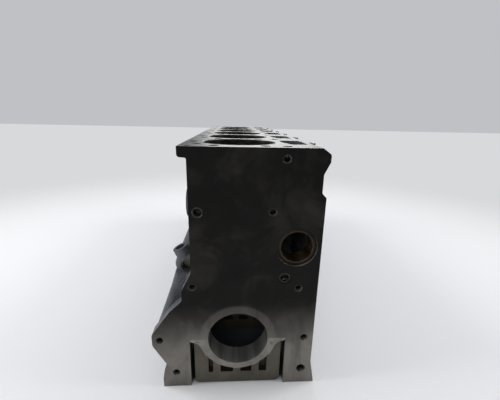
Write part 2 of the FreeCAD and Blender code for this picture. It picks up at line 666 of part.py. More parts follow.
def main_cap(k):
    """Main bearing cap: a ribbed plate under the bearing, bolted up into its register in the web."""
    y0, y1 = bearing_span(k)
    front = CAP_RECESS if k == 0 else CAP_MID_RECESS
    back = CAP_RECESS if k == CYLINDERS else CAP_MID_RECESS
    plate = prism_along_y(cap_outline(), y0 + front, y1 - back)
    cap = plate.fuse(cap_face(y0, y1))
    cuts = [cap_pockets(y0 + front, 1, CAP_POCKET_DEPTH), cap_pockets(y1 - back, -1, CAP_POCKET_DEPTH)]
    cuts.append(cylinder(MAIN_BORE_R, 0, y0 - PAST, 0, (0, 1, 0), y1 - y0 + 2 * PAST))
    for x in (-CAP_BOLT_X, CAP_BOLT_X):
        y = WEB_Y[k]
        height = CAP_HEAD_SEAT_Z - CAP_BOTTOM_Z
        cuts.append(cylinder(CAP_BOLT_R + SLACK, x, y, CAP_BOTTOM_Z - PAST, (0, 0, 1), PAST * 2 - CAP_BOTTOM_Z))
        cuts.append(cylinder(CAP_HEAD_R, x, y, CAP_BOTTOM_Z - PAST, (0, 0, 1), height + PAST))
        cuts.append(cylinder(CAP_DOWEL_R + FIT, x, y, -CAP_DOWEL_H / 2, (0, 0, 1), CAP_DOWEL_H))
    return cap.cut(cuts).removeSplitter()


# ---------------------------------------------------------------- bolts, dowels, bushes and plugs
def cap_bolt(x, y):
    """Long hexagon bolt, head down in the cap's counterbore, threaded end up in the casting."""
    radius = CAP_BOLT_AF / math.sqrt(3)
    low = CAP_HEAD_SEAT_Z - CAP_BOLT_HEAD_H
    points = []
    for i in range(7):
        turn = math.radians(60 * i)
        points.append(V(x + radius * math.cos(turn), y + radius * math.sin(turn), low))
    head = Part.Face(Part.makePolygon(points)).extrude(V(0, 0, CAP_BOLT_HEAD_H))
    # the crown's cone is 30 degrees, so it takes the corners off and leaves the flats
    rise = CAP_BOLT_AF / 2 * math.tan(math.radians(30))
    crown = cone(CAP_BOLT_AF / 2, CAP_BOLT_AF, x, y, low, (0, 0, 1), rise)
    crown = crown.fuse(cylinder(CAP_BOLT_AF, x, y, low + rise, (0, 0, 1), CAP_BOLT_HEAD_H))
    shank = cylinder(CAP_BOLT_R, x, y, CAP_HEAD_SEAT_Z - 1.0, (0, 0, 1), CAP_BOLT_DEPTH - CAP_HEAD_SEAT_Z - 1.0)
    tip = cone(CAP_BOLT_R, CAP_BOLT_R - 2.0, x, y, CAP_BOLT_DEPTH - 2.0, (0, 0, 1), 2.0)
    return fused([head.common(crown), shank, tip])


def cap_dowel(x, y):
    """Ring dowel round a cap bolt, half in the cap and half in the web."""
    outer = cylinder(CAP_DOWEL_R, x, y, -CAP_DOWEL_H / 2 + FIT, (0, 0, 1), CAP_DOWEL_H - 2 * FIT)
    return outer.cut(cylinder(CAP_BOLT_R + SLACK, x, y, -CAP_DOWEL_H, (0, 0, 1), 2 * CAP_DOWEL_H))


def cam_bush(k):
    """Plain bearing bush pressed into its seat."""
    y0, y1 = bush_span(k)
    bush = cylinder(CAM_SEAT_R, CAM_X, y0, CAM_Z, (0, 1, 0), y1 - y0)
    return bush.cut(cylinder(CAM_BUSH_R, CAM_X, y0 - PAST, CAM_Z, (0, 1, 0), y1 - y0 + 2 * PAST))


def cup_plug(radius, depth, mouth, inward):
    """Pressed sheet cup: a rim that grips the hole and a bottom with a rounded edge."""
    start, axis = V(*mouth), V(*inward)
    cup = Part.makeCylinder(radius, depth, start, axis)
    far = [e for e in cup.Edges if e.Closed and (e.CenterOfMass - (start + axis * depth)).Length < 1e-6]
    cup = cup.makeFillet(min(SHEET_T, radius / 4), far)
    inside = Part.makeCylinder(radius - SHEET_T, depth - SHEET_T + PAST, start - axis * PAST, axis)
    return cup.cut(inside)


def core_plug(k):
    return cup_plug(CORE_PLUG_R, CORE_PLUG_L, (CORE_FACE_X + 2.5, BORE_Y[k], CORE_PLUG_Z), (1, 0, 0))


def gallery_plug(y, inward, radius, x, z):
    mouth = (x, y + inward[1] * 3.0, z)
    return cup_plug(radius, PLUG_SEAT - 3.0 - FIT, mouth, inward)


def build():
    nodes = {"block_casting": block_casting()}
    for k in range(CYLINDERS + 1):
        nodes[f"main_cap_{k + 1}"] = main_cap(k)
        nodes[f"cam_bush_{k + 1}"] = cam_bush(k)
    nodes["main_cap_bolts"] = Part.makeCompound([cap_bolt(x, y) for x, y in cap_bolt_places()])
    nodes["main_cap_dowels"] = Part.makeCompound([cap_dowel(x, y) for x, y in cap_bolt_places()])
    for k in range(CYLINDERS):
        nodes[f"core_plug_{k + 1}"] = core_plug(k)
    ends = ("flywheel_end", "timing_end")
    for end, (y, inward) in zip(ends, gallery_ends()):
        nodes[f"oil_gallery_plug_{end}"] = gallery_plug(y, inward, GALLERY_PLUG_R, GALLERY_X, GALLERY_Z)
    for end, (y, inward) in zip(ends, side_gallery_ends()):
        nodes[f"side_gallery_plug_{end}"] = gallery_plug(y, inward, SIDE_PLUG_R, SIDE_GALLERY_X, SIDE_GALLERY_Z)
    return nodes


os.makedirs("parts", exist_ok=True)
for name, shape in build().items():
    shape.exportStep(f"parts/{name}.step")
    print(name, len(shape.Solids), shape.isValid(), round(shape.Volume / 1000, 1), "cm3")
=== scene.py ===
# %% [markdown]
# # A bare cylinder block, finished in Blender
# The iron casting, its bearing caps, bolts, bushes and plugs come from the imported model and keep their shape and
# place. What is added here is what a foundry, a milling machine, a boring bar, a hone, a tap and a few years of oil
# leave on them: sand grain, a moulding seam, cutter marks, cross-hatching, threads, bright rims and stains. Some
# colours also carry painted shade and painted highlights. Six stretches of the crankcase's wall that the imported
# casting lacks are closed as well.

# %% Load the imported model
import json
import math

import bpy
import numpy as np
from mathutils import Matrix, Vector
from mathutils.bvhtree import BVHTree


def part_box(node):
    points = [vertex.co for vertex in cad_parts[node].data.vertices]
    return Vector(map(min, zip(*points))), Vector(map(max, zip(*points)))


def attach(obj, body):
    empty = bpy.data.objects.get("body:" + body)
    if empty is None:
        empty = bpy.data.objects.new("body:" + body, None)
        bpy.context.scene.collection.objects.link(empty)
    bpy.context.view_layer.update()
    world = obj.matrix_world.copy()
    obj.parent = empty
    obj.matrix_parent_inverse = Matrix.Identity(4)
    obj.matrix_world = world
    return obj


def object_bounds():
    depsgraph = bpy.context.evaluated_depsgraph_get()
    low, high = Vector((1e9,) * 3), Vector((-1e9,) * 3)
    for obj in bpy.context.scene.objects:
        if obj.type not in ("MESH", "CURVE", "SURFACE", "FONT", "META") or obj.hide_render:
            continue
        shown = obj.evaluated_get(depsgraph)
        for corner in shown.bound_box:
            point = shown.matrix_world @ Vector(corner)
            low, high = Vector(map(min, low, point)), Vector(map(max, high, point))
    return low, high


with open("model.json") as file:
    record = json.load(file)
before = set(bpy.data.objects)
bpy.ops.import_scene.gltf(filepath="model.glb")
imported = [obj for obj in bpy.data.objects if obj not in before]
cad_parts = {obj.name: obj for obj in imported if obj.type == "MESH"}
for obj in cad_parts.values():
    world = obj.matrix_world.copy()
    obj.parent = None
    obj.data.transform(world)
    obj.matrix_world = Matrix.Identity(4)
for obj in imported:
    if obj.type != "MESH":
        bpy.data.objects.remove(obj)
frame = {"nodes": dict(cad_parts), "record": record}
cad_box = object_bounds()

MM = 0.001
nodes = frame["nodes"]
mounts = {m["name"]: m for m in frame["record"]["mounts"]}
print("nodes:", len(nodes), "box in metres:", [round(v, 4) for corner in cad_box for v in corner])

# %% [markdown]
# ## Where things are
# Every place below is read from the model's own mounts, so the finishes still land on the right faces if a size of
# the block changes. Y runs along the crankshaft, Z up to the deck, and the origin is on the crankshaft's axis.

# %% Places and radii
def place(name):
    """A mount's point (x, y, z) in metres."""
    return np.array(mounts[name]["pos_m"])


def radius(name):
    """A bore mount's radius in metres."""
    return mounts[name]["dims"]["r_mm"] * MM


LENGTH = cad_box[1][1] - cad_box[0][1]
DECK_Z = place("deck_face")[2]
RAIL_Z = place("sump_rail")[2]
CYLINDERS = sorted(name for name in mounts if name.startswith("cylinder_bore_"))
BORE_Y = np.array([place(name)[1] for name in CYLINDERS])
PITCH = BORE_Y[1] - BORE_Y[0]
BORE_R = radius(CYLINDERS[0])
CRANK_R = radius("main_bore")
CAM_R = radius("cam_bore")
CAM_X, _, CAM_Z = place("cam_bore")
print("cylinders:", len(CYLINDERS), "pitch:", round(PITCH, 4), "deck:", DECK_Z, "rail:", RAIL_Z)

# %% [markdown]
# ## Colour and nodes
# Colours are written as sRGB hex values, as a paint chart gives them, and one function turns them into the linear
# light that Blender mixes. One function adds any shader node with its settings and links, so a material below reads
# from top to bottom like a recipe.

# %% Colour and node helpers
def linear(hex_colour):
    """sRGB hex to linear RGBA: a channel c is c / 12.92 when dark, else ((c + 0.055) / 1.055) to the power 2.4."""
    c = np.array([int(hex_colour[i:i + 2], 16) for i in (1, 3, 5)]) / 255
    flat = np.where(c <= 0.04045, c / 12.92, ((c + 0.055) / 1.055) ** 2.4)
    return (*flat, 1.0)


def add(tree, kind, inputs=None, **settings):
    """Adds one shader node. inputs maps a socket's name or number to a value, a colour, a socket or another node."""
    made = tree.nodes.new("ShaderNode" + kind)
    for name, value in settings.items():
        setattr(made, name, value)
    for key, value in (inputs or {}).items():
        open_sockets = [s for s in made.inputs if s.enabled]
        socket = open_sockets[key] if isinstance(key, int) else next(s for s in open_sockets if s.name == key)
        if isinstance(value, bpy.types.Node):
            value = next(s for s in value.outputs if s.enabled)
        if isinstance(value, bpy.types.NodeSocket):
            tree.links.new(value, socket)
        else:
            socket.default_value = linear(value) if isinstance(value, str) else value
    return made


def new_material(name):
    """An empty node material; returns it with its tree."""
    material = bpy.data.materials.new(name)
    material.use_nodes = True
    material.node_tree.nodes.clear()
    return material, material.node_tree


print("middle grey #808080 in linear light:", [round(v, 3) for v in linear("#808080")])

# %% [markdown]
# ## Grey iron as cast
# The sides of the block keep the skin of the sand mould: dark blue-grey and matt, with grains about a millimetre
# across, softer swells a thumb wide, and a film of oil that makes some patches glossier. Noise at several sizes does
# this, each worked out from its real size in millimetres: the scale of a noise in metres is 1000 over that size. A
# Bevel node rounds every sharp edge by 0.6 mm in the shading, as fettling does on the real one. The caps' skin is
# browner, and their pockets are painted darker still, as painted shade in those recesses.

# %% Cast skin
EDGE_ROUND = 0.6 * MM


def cast_iron(name, dark, light, dust, rough=(0.42, 0.68)):
    """Sand-cast skin: tone in hand-sized clouds, dusty specks in the grain's hollows, gloss in thumb-sized patches."""
    material, tree = new_material(name)
    here = add(tree, "TexCoord").outputs["Object"]
    clouds = add(tree, "TexNoise", {"Vector": here, "Scale": 1000 / 75, "Detail": 5.0, "Roughness": 0.6})
    tone = add(tree, "MapRange", {"Value": clouds, "From Min": 0.34, "From Max": 0.66})
    colour = add(tree, "Mix", {"Factor": tone, "A": dark, "B": light}, data_type="RGBA")
    grains = add(tree, "TexNoise", {"Vector": here, "Scale": 1000 / 1.8, "Detail": 3.0, "Roughness": 0.6})
    specks = add(tree, "MapRange", {"Value": grains, "From Min": 0.56, "From Max": 0.72, "To Max": 0.5})
    colour = add(tree, "Mix", {"Factor": specks, "A": colour, "B": dust}, data_type="RGBA")
    patches = add(tree, "TexNoise", {"Vector": here, "Scale": 1000 / 26, "Detail": 4.0})
    gloss = add(tree, "MapRange", {"Value": patches, "From Min": 0.3, "From Max": 0.7,
                                   "To Min": rough[0], "To Max": rough[1]})
    edge = add(tree, "Bevel", {"Radius": EDGE_ROUND}, samples=4)
    swell = add(tree, "TexNoise", {"Vector": here, "Scale": 1000 / 13, "Detail": 2.0})
    normal = add(tree, "Bump", {"Height": swell, "Distance": 1.1 * MM, "Normal": edge})
    normal = add(tree, "Bump", {"Height": grains, "Distance": 0.35 * MM, "Normal": normal})
    shader = add(tree, "BsdfPrincipled", {"Base Color": colour, "Roughness": gloss, "Metallic": 0.45,
                                          "Normal": normal})
    add(tree, "OutputMaterial", {"Surface": shader})
    return material


block_skin = cast_iron("grey_iron_as_cast", "#424448", "#6a6c70", "#8b8985")
cap_skin = cast_iron("cap_iron_as_cast", "#3f3c35", "#5a554a", "#77725f")
# painted shade: a darker copy of the caps' skin for the insides of their pockets and holes
cap_pocket_shade = cast_iron("cap_iron_pocket_painted_shade", "#26231c", "#3a362b", "#6a6453")
print("cast skins:", block_skin.name, cap_skin.name, cap_pocket_shade.name)

# %% [markdown]
# ## Milled end faces
# A big face cutter leaves each end wall flat, and its teeth leave fine arcs. The parts wash left an oily film on it
# that dried in clouds, with a few vertical runs. From the camshaft up the face is painted near black as painted
# shade, and towards the feet it is painted lighter as painted light from the pale floor. The seal's housing has
# rubbed a slightly brighter ring round the crankshaft's bore. The real arcs are about half a millimetre apart; here
# they are 2.5 mm apart, coarse enough to show.

# %% Milled and oiled end face
RUB_R = 64 * MM  # where the crankshaft seal's housing sat
RUB_EDGE = 5 * MM  # width over which that ring fades out
CUTTER_STEP = 2.5  # between the arcs, in millimetres
LIGHT_PAINTED_BELOW, SHADE_PAINTED_ABOVE = -60 * MM, 74 * MM  # the face's painted light below and painted shade above meet between these heights


def end_wall(name, dark, light, film, rim):
    """Milled face. Tone = (smooth step down from the crank's height: painted light below, painted shade above) x clouds
    + haze; then the rubbed ring, vertical runs of the film, and the cutter's arcs."""
    material, tree = new_material(name)
    here = add(tree, "TexCoord").outputs["Object"]
    axes = add(tree, "SeparateXYZ", {0: here}).outputs
    # painted shade and painted light: the face darkens smoothly from the feet up past the crank's height
    low = add(tree, "MapRange", {"Value": axes[2], "From Min": LIGHT_PAINTED_BELOW, "From Max": SHADE_PAINTED_ABOVE,
                                 "To Min": 0.95, "To Max": 0.025}, interpolation_type="SMOOTHSTEP")
    clouds = add(tree, "TexNoise", {"Vector": here, "Scale": 1000 / 85, "Detail": 6.0, "Roughness": 0.62,
                                    "Distortion": 0.6})
    drift = add(tree, "MapRange", {"Value": clouds, "From Min": 0.3, "From Max": 0.7, "To Min": 0.55,
                                   "To Max": 1.45})
    haze = add(tree, "MapRange", {"Value": clouds, "From Min": 0.5, "From Max": 0.68, "To Max": 0.07})
    tone = add(tree, "Math", {0: low, 1: drift, 2: haze}, operation="MULTIPLY_ADD", use_clamp=True)
    colour = add(tree, "Mix", {"Factor": tone, "A": dark, "B": light}, data_type="RGBA")
    flat = add(tree, "CombineXYZ", {"X": axes[0], "Z": axes[2]})
    away = add(tree, "VectorMath", {0: flat}, operation="LENGTH").outputs["Value"]
    rubbed = add(tree, "MapRange", {"Value": away, "From Min": RUB_R + 3 * MM,
                                    "From Max": RUB_R + 3 * MM - RUB_EDGE, "To Max": 0.2})
    colour = add(tree, "Mix", {"Factor": rubbed, "A": colour, "B": rim}, data_type="RGBA")
    stretched = add(tree, "Mapping", {"Vector": here, "Scale": (1.0, 1.0, 0.12)})
    runs = add(tree, "TexNoise", {"Vector": stretched, "Scale": 1000 / 19, "Detail": 5.0, "Distortion": 0.3})
    runs = add(tree, "MapRange", {"Value": runs, "From Min": 0.54, "From Max": 0.78, "To Max": 0.4})
    colour = add(tree, "Mix", {"Factor": runs, "A": colour, "B": film}, data_type="RGBA")
    smear = add(tree, "TexNoise", {"Vector": here, "Scale": 1000 / 34, "Detail": 6.0, "Roughness": 0.65})
    gloss = add(tree, "MapRange", {"Value": smear, "From Min": 0.3, "From Max": 0.7, "To Min": 0.34,
                                   "To Max": 0.56})
    arcs = add(tree, "TexWave", {"Vector": here, "Scale": 1000 / CUTTER_STEP / 20, "Distortion": 0.6,
                                 "Detail": 2.0}, wave_type="RINGS", rings_direction="Y")
    edge = add(tree, "Bevel", {"Radius": EDGE_ROUND}, samples=4)
    normal = add(tree, "Bump", {"Height": arcs, "Distance": 0.01 * MM, "Normal": edge})
    shader = add(tree, "BsdfPrincipled", {"Base Color": colour, "Roughness": gloss, "Metallic": 0.6,
                                          "Specular IOR Level": 0.2, "Normal": normal})
    add(tree, "OutputMaterial", {"Surface": shader})
    return material


end_face = end_wall("milled_end_face_painted_shade", "#0c0b0a", "#7b7771", "#12110f", "#8a867f")
# below the first height the face is painted light, above the second it is painted shade
print("end faces:", end_face.name, "bare below z", LIGHT_PAINTED_BELOW, "and dark above z", SHADE_PAINTED_ABOVE)

# %% [markdown]
# ## Machined surfaces seen close
# The deck, the sump rail, the caps' faces and the gallery plugs are milled, ground or pressed to a dull shine. They
# differ only in tone, gloss and the spacing of the cutter's lines, so one recipe takes these as values.

# %% Ground and milled flats
def milled(name, base, worn, line_mm, across, rough, metallic=0.85):
    """Milled flat: straight cutter lines, thumb-sized wear in tone and gloss, and small dark stains."""
    material, tree = new_material(name)
    here = add(tree, "TexCoord").outputs["Object"]
    wear = add(tree, "TexNoise", {"Vector": here, "Scale": 1000 / 32, "Detail": 6.0, "Roughness": 0.62})
    tone = add(tree, "MapRange", {"Value": wear, "From Min": 0.34, "From Max": 0.66})
    colour = add(tree, "Mix", {"Factor": tone, "A": base, "B": worn}, data_type="RGBA")
    spots = add(tree, "TexNoise", {"Vector": here, "Scale": 1000 / 9, "Detail": 3.0, "Distortion": 0.8})
    stain = add(tree, "MapRange", {"Value": spots, "From Min": 0.62, "From Max": 0.72, "To Max": 0.45})
    colour = add(tree, "Mix", {"Factor": stain, "A": colour, "B": "#2a2823"}, data_type="RGBA")
    gloss = add(tree, "MapRange", {"Value": wear, "From Min": 0.3, "From Max": 0.7, "To Min": rough[0],
                                   "To Max": rough[1]})
    lines = add(tree, "TexWave", {"Vector": here, "Scale": 1000 / line_mm / 20, "Distortion": 0.4,
                                  "Detail": 2.0}, bands_direction=across)
    edge = add(tree, "Bevel", {"Radius": EDGE_ROUND}, samples=4)
    normal = add(tree, "Bump", {"Height": lines, "Distance": 0.008 * MM, "Normal": edge})
    shader = add(tree, "BsdfPrincipled", {"Base Color": colour, "Roughness": gloss, "Metallic": metallic,
                                          "Normal": normal})
    add(tree, "OutputMaterial", {"Surface": shader})
    return material


deck_face = milled("ground_deck", "#3e3d3a", "#6e6d69", 2.0, "X", (0.30, 0.44))
rail_face = milled("milled_sump_rail", "#5d5b56", "#74716a", 2.5, "Y", (0.36, 0.5))
cap_face = milled("milled_cap_face", "#6f6d67", "#8d8a83", 2.5, "X", (0.34, 0.5))
register_side = milled("broached_cap_register", "#54524c", "#6b6861", 2.0, "Y", (0.36, 0.52))
# the gallery plugs are dark, close to the tone of the end face round them
dark_plug = milled("dark_gallery_plug", "#2f2e2b", "#45433e", 2.0, "X", (0.38, 0.5), 0.6)
print("flats:", [m.name for m in (deck_face, rail_face, cap_face, register_side, dark_plug)])

# %% [markdown]
# ## Bored and drilled iron
# A boring bar turns the crankshaft's line, the camshaft's bushes and the rims of the holes, and leaves fine rings
# round the axis. The rings are drawn about three times as far apart as the real feed, so that they show. The tone of
# the crankshaft's line and of the bushes is drawn out in bands along the axis, and their light bands are painted
# highlights, glints running along the bores.

# %% Bored iron
def bored(name, base, worn, feed_mm, along, rough, metallic=0.9, stretch=(1.0, 1.0, 1.0)):
    """Turned surface: rings that follow each other along one axis of the block, and tone in clouds, which a scale
    well under 1 in stretch draws out to bands; on the crankshaft's line and the bushes their light tone is painted
    highlight."""
    material, tree = new_material(name)
    here = add(tree, "TexCoord").outputs["Object"]
    drawn = add(tree, "Mapping", {"Vector": here, "Scale": stretch})
    bands = add(tree, "TexNoise", {"Vector": drawn, "Scale": 1000 / 24, "Detail": 5.0, "Roughness": 0.6})
    tone = add(tree, "MapRange", {"Value": bands, "From Min": 0.34, "From Max": 0.66})
    colour = add(tree, "Mix", {"Factor": tone, "A": base, "B": worn}, data_type="RGBA")
    gloss = add(tree, "MapRange", {"Value": bands, "From Min": 0.3, "From Max": 0.7, "To Min": rough[0],
                                   "To Max": rough[1]})
    rings = add(tree, "TexWave", {"Vector": here, "Scale": 1000 / feed_mm / 20, "Distortion": 0.15},
                bands_direction=along)
    edge = add(tree, "Bevel", {"Radius": EDGE_ROUND}, samples=4)
    normal = add(tree, "Bump", {"Height": rings, "Distance": 0.012 * MM, "Normal": edge})
    shader = add(tree, "BsdfPrincipled", {"Base Color": colour, "Roughness": gloss, "Metallic": metallic,
                                          "Normal": normal})
    add(tree, "OutputMaterial", {"Surface": shader})
    return material


# painted highlight: the light tone #dedcd6, drawn out in bands along the bore, paints the crankshaft line's glints
crank_line = bored("bored_crank_line", "#8a8884", "#dedcd6", 1.5, "Y", (0.28, 0.4), 0.8, (1.0, 0.05, 1.0))
hole_rim = bored("countersunk_rim", "#403e3a", "#5f5d57", 1.0, "Z", (0.3, 0.4))
# painted highlight: the pale gold #f4dcaa, drawn out in bands along the bore, paints the bushes' glints
bronze = bored("bored_bronze_bush", "#80643a", "#f4dcaa", 1.0, "Y", (0.14, 0.26), 0.95, (1.0, 0.1, 1.0))
# the bushes' end faces are dark brown, darker than their bores
bush_end = bored("dark_bush_end", "#231e16", "#3b3223", 1.0, "X", (0.3, 0.42), 0.8)
black_oiled = bored("black_oiled_bolt_steel", "#1d1d1f", "#2b2b2e", 0.8, "Z", (0.32, 0.46), 0.6)
plug_steel = bored("pressed_plug_steel", "#45443f", "#5f5e58", 1.2, "X", (0.34, 0.48), 0.9)
print("bored:", [m.name for m in (crank_line, hole_rim, bronze, bush_end, black_oiled, plug_steel)])

# %% [markdown]
# ## Honed cylinder walls
# A hone moves up and down while it turns, so its scratches cross at about 50 degrees, and that cross-hatch holds the
# oil. The wall is unrolled in the material: the angle round each bore's own axis times its radius is one coordinate
# and the height the other, and two sets of slanted lines are drawn on them. Real scratches are some hundredths of a
# millimetre wide; these are 2 mm apart so that they show.

# %% Honed iron
HONE_STEP = 2.0
HONE_ANGLE = 25.0  # of each set from level, in degrees


def honed():
    """Cross-hatch on (radius x angle, height): each set is sin(2 pi d / step), d across its lines."""
    material, tree = new_material("honed_cylinder_wall")
    here = add(tree, "TexCoord").outputs["Object"]
    axes = add(tree, "SeparateXYZ", {0: here}).outputs
    first = BORE_Y[0] - PITCH / 2
    along = add(tree, "Math", {0: axes[1], 1: float(first)}, operation="SUBTRACT")
    within = add(tree, "Math", {0: along, 1: float(PITCH)}, operation="FLOORED_MODULO")
    local = add(tree, "Math", {0: within, 1: float(PITCH / 2)}, operation="SUBTRACT")
    turn = add(tree, "Math", {0: local, 1: axes[0]}, operation="ARCTAN2")
    round_it = add(tree, "Math", {0: turn, 1: float(BORE_R)}, operation="MULTIPLY")
    unrolled = add(tree, "CombineXYZ", {"X": round_it, "Y": axes[2]})
    sets = []
    for slant in (-HONE_ANGLE, HONE_ANGLE):
        turned = add(tree, "Mapping", {"Vector": unrolled, "Rotation": (0.0, 0.0, math.radians(slant))})
        sets.append(add(tree, "TexWave", {"Vector": turned, "Scale": 1000 / HONE_STEP / 20, "Distortion": 0.8,
                                          "Detail": 3.0, "Detail Scale": 2.0}, bands_direction="Y"))
    hatch = add(tree, "Math", {0: sets[0], 1: sets[1]}, operation="MINIMUM")
    colour = add(tree, "Mix", {"Factor": hatch, "A": "#1f1e1d", "B": "#383733"}, data_type="RGBA")
    normal = add(tree, "Bump", {"Height": hatch, "Distance": 0.02 * MM})
    shader = add(tree, "BsdfPrincipled", {"Base Color": colour, "Roughness": 0.42, "Metallic": 0.8,
                                          "Normal": normal})
    add(tree, "OutputMaterial", {"Surface": shader})
    return material


cylinder_wall = honed()
print("honed:", cylinder_wall.name)

# %% [markdown]
# ## Which surface gets which finish
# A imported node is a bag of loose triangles. Their centres and normals say what each one is: a triangle in the plane
# of an end face is milled, one at a bore's radius that faces its axis is bored or honed, and all the rest is as cast.
# This is worked out for all triangles at once, as arrays of true and false.

# %% Sorting triangles
def corners_of(node):
    """A node's triangle corners as an array (triangles, 3, 3), with unit normals (triangles, 3)."""
    mesh = nodes[node].data
    points = np.empty(len(mesh.vertices) * 3)
    mesh.vertices.foreach_get("co", points)
    order = np.empty(len(mesh.loops), np.int32)
    mesh.loops.foreach_get("vertex_index", order)
    corners = points.reshape(-1, 3)[order].reshape(-1, 3, 3)
    cross = np.cross(corners[:, 1] - corners[:, 0], corners[:, 2] - corners[:, 0])
    return corners, cross / np.maximum(np.linalg.norm(cross, axis=1, keepdims=True), 1e-20)


def on_plane(corners, axis, value):
    """True where all three corners lie in the plane at value along axis."""
    return (np.abs(corners[:, :, axis] - value) < 0.02 * MM).all(axis=1)


def on_bore(corners, normals, axis, centre, size, slack=0.05 * MM):
    """True where all corners lie at distance size from a line along axis, and the normal points to that line."""
    flat = [i for i in range(3) if i != axis]
    offset = corners[:, :, flat] - np.array(centre)
    at_size = (np.abs(np.linalg.norm(offset, axis=2) - size) < slack).all(axis=1)
    inward = (offset.mean(axis=1) * normals[:, flat]).sum(axis=1) < 0
    return at_size & inward & (np.abs(normals[:, axis]) < 0.2)


def give(node, materials, which=None):
    """Puts materials in a node's slots, and each triangle's slot number with them."""
    slots = nodes[node].data.materials
    slots.clear()
    for material in materials:
        slots.append(material)
    if which is not None:
        nodes[node].data.polygons.foreach_set("material_index", which.astype(np.int32))


print("triangles of the casting:", len(corners_of("block_casting")[0]))

# %% Finishes of the casting
COUNTERSINK = 1.6 * MM  # no countersink reaches deeper than this
PLUG_DEPTH = 12 * MM  # of a gallery plug's seat
SEAT_DEPTH = 14 * MM  # more than the depth of the camshaft's counterbore
SEAT_WIDTH = 14 * MM  # the camshaft's counterbore is less than this wider than its bore
REGISTER_X = 81 * MM  # broached sides that locate the caps
SKIN, END, DECK, RAIL, CRANK, HONED, RIM, REGISTER = range(8)
corners, normals = corners_of("block_casting")
which = np.full(len(corners), SKIN)
which[on_plane(corners, 1, 0.0) | on_plane(corners, 1, LENGTH)] = END
which[on_plane(corners, 2, DECK_Z)] = DECK
which[on_plane(corners, 2, RAIL_Z)] = RAIL
which[on_bore(corners, normals, 1, (0.0, 0.0), CRANK_R)] = CRANK
for y in BORE_Y:
    which[on_bore(corners, normals, 2, (0.0, y), BORE_R)] = HONED
height = corners[:, :, 2]
depth = np.minimum(corners[:, :, 1], LENGTH - corners[:, :, 1]).max(axis=1)
slanted = (np.abs(normals).max(axis=1) < 0.97) & (np.abs(normals).max(axis=1) > 0.5)
near_end = (depth < COUNTERSINK) & (depth > 0.1 * MM) & (np.abs(normals[:, 1]) > 0.5)
near_deck = (height.min(axis=1) > DECK_Z - COUNTERSINK) & (np.abs(normals[:, 2]) > 0.5)
which[slanted & (near_end | near_deck) & (which == SKIN)] = RIM
plug_low, plug_high = (np.array(v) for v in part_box("oil_gallery_plug_flywheel_end"))
plug_place = ((plug_low + plug_high) / 2)[[0, 2]]
at_plug = np.linalg.norm(corners[:, :, [0, 2]] - plug_place, axis=2).max(axis=1) < (plug_high - plug_low)[0]
which[at_plug & (depth < PLUG_DEPTH)] = END
from_cam = np.linalg.norm(corners[:, :, [0, 2]] - (CAM_X, CAM_Z), axis=2)
seat = (from_cam.max(axis=1) < CAM_R + SEAT_WIDTH) & (depth < SEAT_DEPTH) & (which == SKIN)
which[seat & (np.abs(normals[:, 1]) > 0.7)] = END
which[seat & (np.abs(normals[:, 1]) < 0.7)] = CRANK
from_middle = np.abs(corners[:, :, 0]).min(axis=1)
broached = (np.abs(normals[:, 0]) > 0.999) & (np.abs(from_middle - REGISTER_X) < 0.05 * MM)
which[broached & (height.max(axis=1) < 1 * MM)] = REGISTER
give("block_casting", [block_skin, end_face, deck_face, rail_face, crank_line, cylinder_wall, hole_rim,
                       register_side], which)
print("triangles by finish, from skin to register:", np.bincount(which).tolist())

# %% Finishes of the caps, bushes, bolts and plugs
CAP_PLATE = 5 * MM  # deeper than this under a cap's outer face is inside a pocket or a hole
CAPS = sorted(name for name in nodes if name.startswith("main_cap_") and name[-1].isdigit())
for name in CAPS:
    corners, normals = corners_of(name)
    low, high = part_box(name)
    depth = np.minimum(corners[:, :, 1] - low[1], high[1] - corners[:, :, 1]).max(axis=1)
    which = np.zeros(len(corners), int)
    for axis in (1, 2):
        which[on_plane(corners, axis, low[axis]) | on_plane(corners, axis, high[axis])] = 1
    # what lies deeper than the plate gets the pockets' painted shade
    which[depth > CAP_PLATE] = 3
    which[(normals[:, 2] > 0.7) & (which == 0)] = 1
    which[on_bore(corners, normals, 1, (0.0, 0.0), CRANK_R)] = 2
    give(name, [cap_skin, cap_face, crank_line, cap_pocket_shade], which)
for name in nodes:
    if name.startswith("cam_bush_"):
        low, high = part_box(name)
        corners, _ = corners_of(name)
        give(name, [bronze, bush_end], on_plane(corners, 1, low[1]) | on_plane(corners, 1, high[1]))
    elif name in ("main_cap_bolts", "main_cap_dowels"):
        give(name, [black_oiled])
    elif name.startswith("oil_gallery_plug"):
        give(name, [dark_plug])
    elif "plug" in name:
        give(name, [plug_steel])
print("caps:", len(CAPS), "last cap's triangles by finish:", np.bincount(which).tolist())

# %% [markdown]
# ## Round surfaces shaded round
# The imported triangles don't share their corners, so each would be shaded flat and a bore would look like a polygon.
# Shading normals fix that without moving a vertex: at every corner, the normals of the triangles that meet there are
# averaged if they lie within 32 degrees of each other, and sharper edges stay sharp.

# %% Shading normals
SHARP = math.cos(math.radians(32.0))
SAME_SPOT = 0.002 * MM  # corners on one grid point of this size are the same corner
SPOT_KEYS = np.array([4_000_037, 2_003, 7_000_003])  # turn a grid point's three numbers into one


